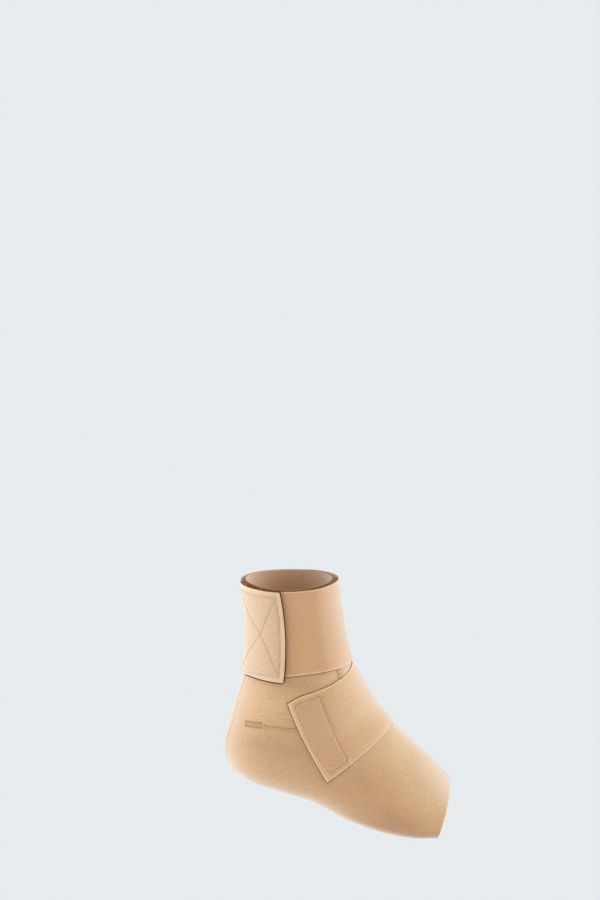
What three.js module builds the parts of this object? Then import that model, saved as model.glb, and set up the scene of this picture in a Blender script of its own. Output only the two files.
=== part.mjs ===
// Compression wrap for the right side, in the shape it has when it is filled: an open-toed boot of
// short-stretch cloth, closed by a band round the ankle and a strap over the instep.
// Millimetres. +X points to the toe edge, +Y to the boot's inner side, +Z up the ankle tube.
// The origin is the centre of the ankle hollow, on the axis of the ankle tube.
import * as THREE from "three";

// Cloth thicknesses, and the gap kept between two layers
const BOOT_WALL = 2.2;
const BAND_WALL = 1.4;
const FLAP_WALL = 1.0;
const HOOK_WALL = 0.8;
const LAYER_GAP = 0.4;

// How far each layer's inner face stands off the boot's outer face
const ON_BOOT = LAYER_GAP;
const FLAP_RISE = FLAP_WALL + LAYER_GAP;
const HOOK_RISE = HOOK_WALL + LAYER_GAP;
const ON_BAND = ON_BOOT + BAND_WALL + LAYER_GAP;

// Sections through the boot, from its rim at the ankle round the heel to its toe edge. Each lies in a plane
// square to the boot's mid plane, between a front point (ankle, instep) and a back point (heel, sole).
// outerHalf and innerHalf are the half widths to the outer and the inner side.
// belly moves the widest place to the front (+) or to the sole (-), as a share of half the section's depth.
// frontPower and solePower square off the two halves: 2 is an ellipse, more is boxier.
// ridge moves the front point to the inner side, and arch hollows the inner side of the sole.
const SECTION_COLUMNS = [
  "frontX", "frontZ", "backX", "backZ", "outerHalf", "innerHalf",
  "belly", "frontPower", "solePower", "ridge", "arch",
];
const SECTION_ROWS = [
  [33.2, 101, -40, 100.5, 33.5, 33.5, 0, 2.1, 2.1, 0, 0], // rim
  [35.8, 79, -38.4, 77, 33, 33, 0, 2.1, 2.1, 0, 0], // upper ankle
  [39.6, 56, -37.7, 53, 33.5, 33.5, 0, 2.1, 2.1, 0, 0], // narrow of the ankle
  [45, 33, -40.4, 24, 35.5, 35.5, 0, 2.1, 2.1, 0, 0], // lower edge of the band
  [49.8, 23.2, -45.2, 6, 37.5, 38, 0, 2.1, 2.1, 0, 0], // widest of the ankle
  [55.9, 12.1, -51, -13, 38.5, 39, 0, 2.1, 2.1, 0, 0], // above the heel
  [61.2, 4.3, -56, -33, 38, 38.5, 0, 2.1, 2.1, 1, 0], // back of the heel
  [66.4, -3.6, -51.6, -52, 37, 37, -0.05, 2.1, 2.2, 2, 0], // turn of the heel
  [71.8, -9.2, -36.6, -64.8, 36, 36, -0.1, 2.1, 2.4, 3, 0], // heel pad
  [77, -15.5, -13, -72.8, 36, 36, -0.15, 2.1, 2.6, 4, 3], // front of the heel pad
  [84, -23, 14, -80.6, 37, 36.5, -0.2, 2.1, 2.8, 6, 8], // arch
  [94, -33, 42, -94.8, 39.5, 38, -0.25, 2.1, 3, 8, 9], // instep
  [106, -44, 70, -103.5, 43, 41, -0.3, 2.1, 3.2, 9, 5], // waist of the sole
  [117, -56, 94, -107, 46, 45, -0.3, 2.1, 3.4, 10, 1], // ball
  [128, -69, 115, -107, 46, 46, -0.25, 2.2, 3.4, 10, 0], // toe edge
];
const LAST_SECTION = SECTION_ROWS.length - 1;

// Ankle band: its edges by section number, its slit under the tab, and the dip of its rim on the outer side
const RIM_DIP = 0.14;
const BAND_FOOT = 3.0;
const BAND_SLIT = 126;
const BAND_SLIT_WIDTH = 4;

// Ankle tab: from its free edge back to its sewn edge, in degrees round the ankle
const TAB_FREE_TOP = 99.5;
const TAB_FREE_FOOT = 102;
const TAB_EDGE_BOW = 2;
const TAB_SEWN_EDGE = 168;
const TAB_FOOT_SEWN = 2.93;
const TAB_FOOT_FREE = 3.25;
const TAB_HOOK_END = 148;

// Front flap: the overlap of the boot's opening, under the band and the strap
const FLAP_OUTER_EDGE = 48;
const FLAP_INNER_EDGE = -52;
const FLAP_FOOT = 4.7;
const FLAP_LEAD = 6;
const FLAP_RAMP = 22;
const FLAP_FOOT_LEAD = 0.4;
const FLAP_FOOT_RAMP = 2.6;

// Instep strap: its two edges, by section number, at angles round the boot from the inner side to the outer
const STRAP_COLUMNS = ["angle", "upper", "lower"];
const STRAP_ROWS = [
  [-128, 6.1, 9.7],
  [-96, 4.7, 9.6],
  [-47, 3.75, 9.55],
  [0, 3.1, 9.45],
  [47, 3.75, 9.55],
  [74, 4.05, 9.6],
  [97, 4.5, 9.6],
];
const STRAP_SEWN_END = -128;

// The strap's free end is a straight cut on the curved boot, so its angle bows across the strap, and so does
// the line where its hook strip begins. Both go from the upper edge to the lower in even steps.
const STRAP_END_COLUMNS = ["freeEnd", "hookLine"];
const STRAP_END_ROWS = [
  [96.1, 70.8],
  [93.25, 69.1],
  [90.6, 67.4],
  [88, 66],
  [85.8, 64.6],
  [85.9, 64.8],
  [88.25, 66.2],
  [91.75, 69.9],
  [96.4, 75.6],
];

// Hook strip under the strap's free end: its margins to the strap's edges, the length over which the strap
// rises onto it, as a share of its own length, and the share of the strap's grid from there to the free end
const STRAP_HOOK_MARGIN_ARC = 3;
const STRAP_HOOK_MARGIN = 0.05;
const STRAP_HOOK_RAMP = 1 / 3;
const STRAP_END_SHARE = 8 / 30;

const radians = THREE.MathUtils.degToRad;
const { lerp, smoothstep } = THREE.MathUtils;

// A smooth curve through b and c, with the slopes that their neighbours a and d give
function smoothBetween(a, b, c, d, share) {
  const slopeB = (c - a) / 2;
  const slopeC = (d - b) / 2;
  const rise = c - b;
  const bend = slopeB + slopeC - 2 * rise;
  return b + share * (slopeB + share * (rise - slopeB - bend + share * bend));
}

// One column of a table at a place between two rows
function columnAt(rows, column, place) {
  const last = rows.length - 1;
  const row = Math.min(Math.max(Math.floor(place), 0), last - 1);
  const b = rows[row][column];
  const c = rows[row + 1][column];
  const a = row > 0 ? rows[row - 1][column] : 2 * b - c;
  const d = row + 1 < last ? rows[row + 2][column] : 2 * c - b;
  return smoothBetween(a, b, c, d, place - row);
}

function sectionAt(place) {
  return Object.fromEntries(
    SECTION_COLUMNS.map((name, column) => [name, columnAt(SECTION_ROWS, column, place)]),
  );
}

const signedPower = (value, power) => Math.sign(value) * Math.abs(value) ** power;

// A point on the boot's outer face: angle 0 is the front, 90 the outer side and 180 the heel or sole
function formPoint(place, angle) {
  const section = sectionAt(place);
  const turn = radians(angle);
  const power = 2 / (Math.cos(turn) > 0 ? section.frontPower : section.solePower);
  const depth = signedPower(Math.cos(turn), power);
  const side = signedPower(Math.sin(turn), power);
  const share = (1 + depth + section.belly * (1 - depth * depth)) / 2;
  const archShare = (1 - share) ** 2;
  const half = side > 0 ? section.outerHalf : section.innerHalf - section.arch * archShare;
  return new THREE.Vector3(
    lerp(section.backX, section.frontX, share),
    section.ridge * share ** 1.5 - half * side,
    lerp(section.backZ, section.frontZ, share),
  );
}

// The same point moved out of the boot's face by a lift
function liftedPoint(place, angle, lift) {
  const step = 0.01;
  const inside = Math.min(Math.max(place, step), LAST_SECTION - step);
  const round = formPoint(inside, angle + step).sub(formPoint(inside, angle - step));
  const along = formPoint(inside + step, angle).sub(formPoint(inside - step, angle));
  const outward = round.cross(along).normalize();
  return formPoint(place, angle).addScaledVector(outward, lift);
}

// A closed cloth wall over a grid. spot(u, v) gives the place and angle there, and lifts(place, angle) the
// stand-off of the wall's inner face and its thickness. A ring closes on itself in v.
function clothWall(spot, lifts, rows, columns, ring = false) {
  const positions = [];
  const faces = [];
  const width = ring ? columns : columns + 1;
  const layer = (rows + 1) * width;
  for (const isOuter of [1, 0]) {
    for (let i = 0; i <= rows; i++) {
      for (let j = 0; j < width; j++) {
        const { place, angle } = spot(i / rows, j / columns);
        const { standOff, wall } = lifts(place, angle);
        positions.push(...liftedPoint(place, angle, standOff + isOuter * wall));
      }
    }
  }
  const outer = (i, j) => i * width + (j % width);
  const inner = (i, j) => layer + outer(i, j);
  const quad = (a, b, c, d) => faces.push(a, b, c, a, c, d);
  for (let i = 0; i < rows; i++) {
    for (let j = 0; j < columns; j++) {
      quad(outer(i, j), outer(i, j + 1), outer(i + 1, j + 1), outer(i + 1, j));
      quad(inner(i, j), inner(i + 1, j), inner(i + 1, j + 1), inner(i, j + 1));
    }
  }
  for (let j = 0; j < columns; j++) {
    quad(outer(0, j), inner(0, j), inner(0, j + 1), outer(0, j + 1));
    quad(outer(rows, j), outer(rows, j + 1), inner(rows, j + 1), inner(rows, j));
  }
  if (!ring) {
    for (let i = 0; i < rows; i++) {
      quad(outer(i, 0), outer(i + 1, 0), inner(i + 1, 0), inner(i, 0));
      quad(outer(i, columns), inner(i, columns), inner(i + 1, columns), outer(i + 1, columns));
    }
  }
  const geometry = new THREE.BufferGeometry();
  geometry.setAttribute("position", new THREE.Float32BufferAttribute(positions, 3));
  geometry.setIndex(faces);
  geometry.computeVertexNormals();
  return geometry;
}

// How much the front flap below raises a layer, from 0 beside the flap to 1 on it and a lead past its edges
function onFlap(place, angle) {
  const outerStart = FLAP_OUTER_EDGE + FLAP_LEAD;
  const innerStart = FLAP_INNER_EDGE - FLAP_LEAD;
  const footStart = FLAP_FOOT + FLAP_FOOT_LEAD;
  const outerRamp = 1 - smoothstep(angle, outerStart, outerStart + FLAP_RAMP);
  const innerRamp = smoothstep(angle, innerStart - FLAP_RAMP, innerStart);
  const footRamp = 1 - smoothstep(place, footStart, footStart + FLAP_FOOT_RAMP);
  return outerRamp * innerRamp * footRamp;
}

// The rim dips on the outer side of the ankle
const rimAt = (angle) => RIM_DIP * Math.max(0, Math.sin(radians(angle))) ** 2;

// Angles run from -180 to 180
const wrapped = (angle) => THREE.MathUtils.euclideanModulo(angle + 180, 360) - 180;

function footBoot() {
  const spot = (u, v) => {
    const angle = 360 * v - 180;
    return { place: lerp(rimAt(angle), LAST_SECTION, u), angle };
  };
  return clothWall(spot, () => ({ standOff: -BOOT_WALL, wall: BOOT_WALL }), 40, 40, true);
}

function frontFlap() {
  const spot = (u, v) => {
    const angle = lerp(FLAP_INNER_EDGE, FLAP_OUTER_EDGE, v);
    return { place: lerp(rimAt(angle), FLAP_FOOT, u), angle };
  };
  return clothWall(spot, () => ({ standOff: ON_BOOT, wall: FLAP_WALL }), 14, 9);
}

function ankleBand() {
  const spot = (u, v) => {
    const turned = lerp(BAND_SLIT + BAND_SLIT_WIDTH / 2, BAND_SLIT - BAND_SLIT_WIDTH / 2 + 360, v);
    const angle = wrapped(turned);
    return { place: lerp(rimAt(angle), BAND_FOOT, u), angle };
  };
  const lifts = (place, angle) => ({
    standOff: ON_BOOT + FLAP_RISE * onFlap(place, angle),
    wall: BAND_WALL,
  });
  return clothWall(spot, lifts, 8, 44);
}

// The free edge of the tab bows a little towards the front at half height
const tabFreeEdge = (u) => lerp(TAB_FREE_TOP, TAB_FREE_FOOT, u) - TAB_EDGE_BOW * Math.sin(Math.PI * u);

function tabFoot(angle) {
  const share = (angle - TAB_SEWN_EDGE) / (TAB_FREE_FOOT - TAB_SEWN_EDGE);
  return lerp(TAB_FOOT_SEWN, TAB_FOOT_FREE, share);
}

// The tab or its hook patch: a panel from the free edge back to an end angle
function tabPanel(endAngle, lifts, columns) {
  const spot = (u, v) => {
    const angle = lerp(tabFreeEdge(u), endAngle, v);
    return { place: lerp(rimAt(angle), tabFoot(angle), u), angle };
  };
  return clothWall(spot, lifts, 9, columns);
}

function ankleTab() {
  const lifts = (place, angle) => ({
    standOff: ON_BAND + HOOK_RISE * (1 - smoothstep(angle, TAB_HOOK_END, TAB_SEWN_EDGE)),
    wall: BAND_WALL,
  });
  return tabPanel(TAB_SEWN_EDGE, lifts, 12);
}

function ankleHookPatch() {
  return tabPanel(TAB_HOOK_END, () => ({ standOff: ON_BAND, wall: HOOK_WALL }), 9);
}

// The strap's two edges at an angle, read from its table
function strapEdges(angle) {
  const next = STRAP_ROWS.findIndex((row) => row[0] >= angle);
  const row = Math.min(Math.max(next - 1, 0), STRAP_ROWS.length - 2);
  const [from, to] = [STRAP_ROWS[row][0], STRAP_ROWS[row + 1][0]];
  const place = row + (angle - from) / (to - from);
  const [upper, lower] = ["upper", "lower"].map((name) =>
    columnAt(STRAP_ROWS, STRAP_COLUMNS.indexOf(name), place),
  );
  return { upper, lower };
}

// The strap's free end, its hook line and the line where it begins to rise onto the hook strip
function strapEnd(across) {
  const [freeEnd, hookLine] = STRAP_END_COLUMNS.map((name, column) =>
    columnAt(STRAP_END_ROWS, column, across * (STRAP_END_ROWS.length - 1)),
  );
  return { freeEnd, hookLine, rampLine: hookLine - STRAP_HOOK_RAMP * (freeEnd - hookLine) };
}

// The strap or its hook strip: angleAt gives the angle at a share of the width and of the length
function strapPanel(margin, angleAt, lifts, columns) {
  const spot = (u, v) => {
    const across = lerp(margin, 1 - margin, u);
    const angle = angleAt(across, v);
    const { upper, lower } = strapEdges(angle);
    return { place: lerp(upper, lower, across), angle };
  };
  return clothWall(spot, lifts, 14, columns);
}

function instepStrap() {
  const lifts = (place, angle) => {
    const { upper, lower } = strapEdges(angle);
    const { hookLine, rampLine } = strapEnd((place - upper) / (lower - upper));
    const onHook = smoothstep(angle, rampLine, hookLine);
    return {
      standOff: ON_BOOT + Math.max(FLAP_RISE * onFlap(place, angle), HOOK_RISE * onHook),
      wall: BAND_WALL,
    };
  };
  // The last columns of the grid cover the rise onto the hook strip and the free end
  const angleAt = (across, v) => {
    const { freeEnd, rampLine } = strapEnd(across);
    const turn = 1 - STRAP_END_SHARE;
    return v < turn
      ? lerp(STRAP_SEWN_END, rampLine, v / turn)
      : lerp(rampLine, freeEnd, (v - turn) / STRAP_END_SHARE);
  };
  return strapPanel(0, angleAt, lifts, 30);
}

function strapHookStrip() {
  const angleAt = (across, v) => {
    const { freeEnd, hookLine } = strapEnd(across);
    return lerp(hookLine, freeEnd - STRAP_HOOK_MARGIN_ARC, v);
  };
  const lifts = () => ({ standOff: ON_BOOT, wall: HOOK_WALL });
  return strapPanel(STRAP_HOOK_MARGIN, angleAt, lifts, 6);
}

function cloth(color, roughness) {
  return new THREE.MeshStandardMaterial({ color, roughness, metalness: 0 });
}

const BOOT_CLOTH = cloth(0xd2a87c, 0.9);
const BAND_CLOTH = cloth(0xcfa478, 0.9);
const TAB_CLOTH = cloth(0xe6c8a8, 0.9);
const HOOK_TAPE = cloth(0x5b4027, 0.8);
const STRIP_TAPE = cloth(0xb98f66, 0.85);

const wrap = new THREE.Group();
const PIECES = [
  ["foot_boot", footBoot(), BOOT_CLOTH],
  ["front_flap", frontFlap(), BOOT_CLOTH],
  ["instep_strap", instepStrap(), BAND_CLOTH],
  ["strap_hook_strip", strapHookStrip(), STRIP_TAPE],
  ["ankle_band", ankleBand(), BAND_CLOTH],
  ["ankle_hook_patch", ankleHookPatch(), HOOK_TAPE],
  ["ankle_tab", ankleTab(), TAB_CLOTH],
];
for (const [name, geometry, material] of PIECES) {
  const mesh = new THREE.Mesh(geometry, material);
  mesh.name = name;
  wrap.add(mesh);
}

export default wrap;
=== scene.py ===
import math

import bmesh
import bpy
import numpy as np
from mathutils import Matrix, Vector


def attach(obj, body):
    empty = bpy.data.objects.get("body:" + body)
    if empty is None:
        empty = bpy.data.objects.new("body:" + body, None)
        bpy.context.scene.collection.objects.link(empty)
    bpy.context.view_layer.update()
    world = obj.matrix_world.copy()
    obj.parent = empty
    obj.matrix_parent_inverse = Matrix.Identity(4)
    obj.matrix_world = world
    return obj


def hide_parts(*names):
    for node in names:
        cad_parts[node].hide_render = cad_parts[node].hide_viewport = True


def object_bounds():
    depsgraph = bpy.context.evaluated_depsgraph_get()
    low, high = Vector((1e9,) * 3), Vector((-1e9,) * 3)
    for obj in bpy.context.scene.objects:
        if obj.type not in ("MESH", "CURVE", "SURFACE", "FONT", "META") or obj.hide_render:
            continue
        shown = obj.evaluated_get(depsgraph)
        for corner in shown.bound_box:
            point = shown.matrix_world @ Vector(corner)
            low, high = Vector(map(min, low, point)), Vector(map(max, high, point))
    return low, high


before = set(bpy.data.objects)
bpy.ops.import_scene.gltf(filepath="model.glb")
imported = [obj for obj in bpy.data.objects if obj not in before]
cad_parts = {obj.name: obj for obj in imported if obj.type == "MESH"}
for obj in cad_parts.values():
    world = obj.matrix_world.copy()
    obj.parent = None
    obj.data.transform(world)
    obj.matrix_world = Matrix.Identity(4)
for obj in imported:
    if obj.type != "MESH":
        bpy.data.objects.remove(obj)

cad_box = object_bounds()

# The boot: a tube of short-stretch rib knit on a thin foam backing, open at its rim and at its toe edge.
# It is sewn from two side panels, so that the ribs lie level on both sides, and its cut edges are left raw.
# Sizes are millimetres, made metres when a mesh is built.
MM = 0.001
BOOT_WALL = 2.2
BOOT_LENGTH = 290
BOOT_STEP = 1.6
BOOT_GIRTH_STEPS = 200
RIM_DIP = 0.14
# Sections through the boot, from its rim round the heel to its toe edge: front x and z, back x and z,
# outer and inner half width, belly, squareness of the front and of the sole, ridge, arch.
SECTIONS = np.array([
    [33.2, 101, -40, 100.5, 33.5, 33.5, 0, 2.1, 2.1, 0, 0],  # rim
    [35.8, 79, -38.4, 77, 33, 33, 0, 2.1, 2.1, 0, 0],  # upper ankle
    [39.6, 56, -37.7, 53, 33.5, 33.5, 0, 2.1, 2.1, 0, 0],  # narrow of the ankle
    [45, 33, -40.4, 24, 35.5, 35.5, 0, 2.1, 2.1, 0, 0],  # lower edge of the band
    [49.8, 23.2, -45.2, 6, 37.5, 38, 0, 2.1, 2.1, 0, 0],  # widest of the ankle
    [55.9, 12.1, -51, -13, 38.5, 39, 0, 2.1, 2.1, 0, 0],  # above the heel
    [61.2, 4.3, -56, -33, 38, 38.5, 0, 2.1, 2.1, 1, 0],  # back of the heel
    [66.4, -3.6, -51.6, -52, 37, 37, -0.05, 2.1, 2.2, 2, 0],  # turn of the heel
    [71.8, -9.2, -36.6, -64.8, 36, 36, -0.1, 2.1, 2.4, 3, 0],  # heel pad
    [77, -15.5, -13, -72.8, 36, 36, -0.15, 2.1, 2.6, 4, 3],  # front of the heel pad
    [84, -23, 14, -80.6, 37, 36.5, -0.2, 2.1, 2.8, 6, 8],  # arch
    [94, -33, 42, -94.8, 39.5, 38, -0.25, 2.1, 3, 8, 9],  # instep
    [106, -44, 70, -103.5, 43, 41, -0.3, 2.1, 3.2, 9, 5],  # waist of the sole
    [117, -56, 94, -107, 46, 45, -0.3, 2.1, 3.4, 10, 1],  # ball
    [128, -69, 115, -107, 46, 46, -0.25, 2.2, 3.4, 10, 0],  # toe edge
])
LAST_SECTION = len(SECTIONS) - 1
# How steeply the ridge rises to the front and the arch deepens to the sole, as powers
RIDGE_RISE = 1.5
ARCH_RISE = 2


def through_rows(rows, place):
    """A smooth curve through a table's rows, at places counted in rows."""
    place = np.asarray(place, float)
    row = np.clip(np.floor(place).astype(int), 0, len(rows) - 2)
    ends = np.vstack([2 * rows[0] - rows[1], rows, 2 * rows[-1] - rows[-2]])
    a, b, c, d = (ends[row + k] for k in range(4))
    share = (place - row)[..., None]
    slope_b, slope_c, rise = (c - a) / 2, (d - b) / 2, c - b
    bend = slope_b + slope_c - 2 * rise
    return b + share * (slope_b + share * (rise - slope_b - bend + share * bend))


def signed_power(value, power):
    return np.sign(value) * np.abs(value) ** power


def form_point(place, angle):
    """A point on the boot's outer face.

    place counts sections from the rim, and angle 0 is the front, 90 the outer side, 180 the heel or sole.
    """
    columns = np.moveaxis(through_rows(SECTIONS, place), -1, 0)
    front_x, front_z, back_x, back_z, outer, inner, belly, front_n, sole_n, ridge, arch = columns
    cosine, sine = np.cos(np.radians(angle)), np.sin(np.radians(angle))
    power = 2 / np.where(cosine > 0, front_n, sole_n)
    depth, side = signed_power(cosine, power), signed_power(sine, power)
    share = (1 + depth + belly * (1 - depth * depth)) / 2
    half = np.where(side > 0, outer, inner - arch * (1 - share) ** ARCH_RISE)
    return np.stack([
        back_x + (front_x - back_x) * share,
        ridge * np.abs(share) ** RIDGE_RISE - half * side,
        back_z + (front_z - back_z) * share,
    ], axis=-1)


def outward(place, angle):
    """The boot's outward normal."""
    step = 0.01
    inside = np.clip(place, step, LAST_SECTION - step)
    turn = form_point(inside, angle + step) - form_point(inside, angle - step)
    along = form_point(inside + step, angle) - form_point(inside - step, angle)
    normal = np.cross(turn, along)
    return normal / np.linalg.norm(normal, axis=-1, keepdims=True)


def lifted(place, angle, lift):
    """A point at a height above the boot's outer face."""
    return form_point(place, angle) + outward(place, angle) * np.asarray(lift)[..., None]


def smoothstep(value, low, high):
    """0 up to low, 1 from high on, and a smooth rise between them."""
    share = np.clip((value - low) / (high - low), 0, 1)
    return share * share * (3 - 2 * share)


def lerp(a, b, share):
    """A value between two others, by a share."""
    return a + (b - a) * share


# A cut edge is rounded: over this stretch, on rings at these distances from it, this share of the wall
# deep at most, with the backing curled by this share of that
EDGE_ROUND = 0.8
EDGE_RINGS = np.array([0, 0.12, 0.3, 0.55, 0.85, 1.2])
EDGE_DROP = 0.5
BACK_CURL = 0.3


def shares(length, step):
    """Shares of a length, a step apart, and close together at both ends, where the cloth's edge is round."""
    lead = EDGE_RINGS[-1] + step / 2
    inner = np.linspace(lead, length - lead, max(2, round((length - 2 * lead) / step)))
    return np.concatenate([EDGE_RINGS, inner, length - EDGE_RINGS[::-1]]) / length


def run_length(points, axis):
    """The length along a grid of points from its first row or column."""
    steps = np.linalg.norm(np.diff(points, axis=axis), axis=-1)
    start = np.zeros_like(np.take(steps, [0], axis=axis))
    return np.cumsum(np.concatenate([start, steps], axis=axis), axis=axis)


# A lip is led out from the cloth this many rings inside its edge
LIP_RINGS = 3


def stand_out(points, far):
    """Moves the border of a grid of points outwards along the cloth."""
    near_start, near_end = LIP_RINGS, -1 - LIP_RINGS
    for line, beside in [
        (np.s_[0], np.s_[near_start]),
        (np.s_[-1], np.s_[near_end]),
        (np.s_[:, 0], np.s_[:, near_start]),
        (np.s_[:, -1], np.s_[:, near_end]),
    ]:
        way = points[line] - points[beside]
        points[line] += way / np.linalg.norm(way, axis=-1, keepdims=True) * far[line][..., None]


def wall_faces(shape, ring):
    """The faces of a closed wall over two grids of points, the outer one first, by the side they are on.

    The ends of a ring meet, so it has no wall at its start and end.
    """
    def quads(*corners):
        return np.stack(corners, axis=-1).reshape(-1, 4)

    out, back = np.arange(2 * shape[0] * shape[1]).reshape(2, *shape)
    faces = {
        "face": quads(out[:-1, :-1], out[:-1, 1:], out[1:, 1:], out[1:, :-1]),
        "back": quads(back[:-1, :-1], back[1:, :-1], back[1:, 1:], back[:-1, 1:]),
        "top": quads(out[0, :-1], back[0, :-1], back[0, 1:], out[0, 1:]),
        "bottom": quads(out[-1, :-1], out[-1, 1:], back[-1, 1:], back[-1, :-1]),
    }
    if not ring:
        faces["start"] = quads(out[:-1, 0], out[1:, 0], back[1:, 0], back[:-1, 0])
        faces["end"] = quads(out[:-1, -1], back[:-1, -1], back[1:, -1], out[1:, -1])
    return faces


def read_mark(mesh, label):
    """An attribute's value at each point of a mesh."""
    values = np.empty(len(mesh.vertices), np.float32)
    mesh.attributes[label].data.foreach_get("value", values)
    return values


def write_mark(mesh, label, values):
    mesh.attributes[label].data.foreach_set("value", values.astype(np.float32))


def placed(name, data):
    """A new object in the scene, at the origin."""
    piece = bpy.data.objects.new(name, data)
    bpy.context.scene.collection.objects.link(piece)
    return piece


def smooth(mesh):
    mesh.polygons.foreach_set("use_smooth", np.ones(len(mesh.polygons), bool))


# The outer face this close to the top is finished as the rim, in a dark colour that is a painted shadow line
# along it
RIM_BAND = 0.6
# How far the cloth faces down where it begins to be sole, and where it is all sole
SOLE_SLOPES = (0.6, 0.85)
WELD = 0.001


def cloth_piece(name, finish, spot, lifts, across, along, ring=False, lip=None, cuts=None):
    """A closed cloth wall over a grid, with its place on the cloth kept in a UV map and in attributes.

    across and along are shares of the width and of the length. spot(u, v) gives the place and the angle,
    lifts(place, angle) the inner face's stand-off, the wall and how far the outer face is pressed in, and
    lip(place, angle) how far the backing stands out past the cut edge. cuts gives the material of the cut
    walls, out of top, bottom, start and end, and of the rim, the outer face along the top.
    """
    cuts = cuts or {}
    materials = [finish, *dict.fromkeys(cuts.values())]
    numbers = {side: materials.index(material) for side, material in cuts.items()}
    u, v = np.meshgrid(across, along, indexing="ij")
    place, angle = spot(u, v)
    stand_off, wall, pressed = (value + np.zeros_like(u) for value in lifts(place, angle))
    middle = lifted(place, angle, stand_off + wall / 2)
    down, round_it = run_length(middle, 0), run_length(middle, 1)
    edge = np.minimum(down, down[-1:] - down)
    if not ring:
        edge = np.minimum(edge, np.minimum(round_it, round_it[:, -1:] - round_it))
    curl = np.clip(1 - edge / EDGE_ROUND, 0, 1)
    drop = np.minimum(EDGE_ROUND, EDGE_DROP * wall) * (1 - np.sqrt(1 - curl * curl))
    outer = lifted(place, angle, stand_off + wall - drop - pressed)
    inner = lifted(place, angle, stand_off + BACK_CURL * drop)
    if lip:
        stand_out(inner, lip(place, angle) + np.zeros_like(u))
    faces = wall_faces(u.shape, ring)
    corners = np.concatenate(list(faces.values()))
    number = np.concatenate([np.full(len(quads), numbers.get(side, 0)) for side, quads in faces.items()])
    at_rim = (corners < u.size) & (down.ravel()[corners % u.size] < RIM_BAND)
    number[at_rim.all(axis=1)] = numbers.get("rim", 0)
    mesh = bpy.data.meshes.new(name)
    points = np.concatenate([outer.reshape(-1, 3), inner.reshape(-1, 3)]) * MM
    mesh.from_pydata(points.tolist(), [], corners.tolist())
    for material in materials:
        mesh.materials.append(material)
    mesh.polygons.foreach_set("material_index", number.astype(np.int32))
    chart = np.stack([np.tile(round_it.ravel(), 2), np.tile(down.ravel(), 2)], axis=-1)
    uv_map = mesh.uv_layers.new(name="cloth")
    uv_map.data.foreach_set("uv", chart[corners.ravel()].astype(np.float32).ravel())
    none = np.zeros_like(edge)
    sole = smoothstep(-outward(place, angle)[..., 2], *SOLE_SLOPES)
    for label, on_outer, on_inner in [
        ("place", place, place),
        ("angle", angle, angle),
        ("edge", edge, edge),
        ("inside", none, none + 1),
        ("pressed", pressed, none),
        ("sole", sole, sole),
        ("shade", none, none),
    ]:
        mesh.attributes.new(label, "FLOAT", "POINT")
        write_mark(mesh, label, np.concatenate([on_outer.ravel(), on_inner.ravel()]))
    if ring:
        welded = bmesh.new()
        welded.from_mesh(mesh)
        bmesh.ops.remove_doubles(welded, verts=welded.verts, dist=WELD * MM)
        welded.to_mesh(mesh)
        welded.free()
    smooth(mesh)
    mesh.update()
    return placed(name, mesh)


def paint(red, green, blue):
    """A colour by its screen values from 0 to 255, as a shader's linear colour."""
    share = np.array([red, green, blue]) / 255
    linear = np.where(share <= 0.04045, share / 12.92, ((share + 0.055) / 1.055) ** 2.4)
    return (*linear.tolist(), 1.0)


def add(tree, kind, inputs=None, **settings):
    """A node with its settings, and its inputs set to values or linked to other nodes' sockets."""
    node = tree.nodes.new(kind)
    for name, value in settings.items():
        setattr(node, name, value)
    for key, value in (inputs or {}).items():
        if isinstance(value, bpy.types.NodeSocket):
            tree.links.new(value, node.inputs[key])
        else:
            node.inputs[key].default_value = value
    return node


def calc(tree, operation, *values):
    """A sum on sockets and numbers."""
    return add(tree, "ShaderNodeMath", dict(enumerate(values)), operation=operation).outputs[0]


def mix(tree, share, first, second, blend="MIX"):
    """A colour between two, by a share from 0 to 1."""
    inputs = {"Factor": share, 6: first, 7: second}
    return add(tree, "ShaderNodeMix", inputs, data_type="RGBA", blend_type=blend).outputs[2]


def toned(tree, colour, tone):
    """A colour made darker or lighter by a tone, which leaves it as it is where the tone is 1."""
    grey = add(tree, "ShaderNodeCombineColor", {0: tone, 1: tone, 2: tone}).outputs[0]
    return mix(tree, 1.0, colour, grey, "MULTIPLY")


def node_group(name, inputs, outputs):
    """An empty shader node group with named sockets."""
    group = bpy.data.node_groups.new(name, "ShaderNodeTree")
    for flow, sockets in (("INPUT", inputs), ("OUTPUT", outputs)):
        for label, kind in sockets:
            group.interface.new_socket(label, in_out=flow, socket_type="NodeSocket" + kind)
    return group, add(group, "NodeGroupInput"), add(group, "NodeGroupOutput")


# The knit's noises, by scale and detail, drawn out along the ribs, and the range that two are spread from
KNIT_NOISES = {"drift": (0.25, 1.0), "yarn": (1.1, 3.0), "heather": (0.5, 1.0), "cloud": (0.09, 2.0)}
KNIT_DRAWN_OUT = 0.6
KNIT_SPREAD = {"yarn": (0.3, 0.7), "heather": (0.3, 0.7)}
# How far the ribs drift, how round they are, and how far the loops of one rib are set off from the last's
RIB_DRIFT = 0.6
RIB_ROUND = 0.7
LOOP_STAGGER = 0.37
# How much each part of the knit adds to its height, and to the tone of its darkest place
KNIT_HEIGHTS = {"ridge": 0.5, "loop": 0.25, "yarn": 0.5}
KNIT_TONES = {"ridge": 0.08, "loop": 0.06, "yarn": 0.18, "heather": 0.12, "cloud": 0.1}
KNIT_DARKEST = 0.71


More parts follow.
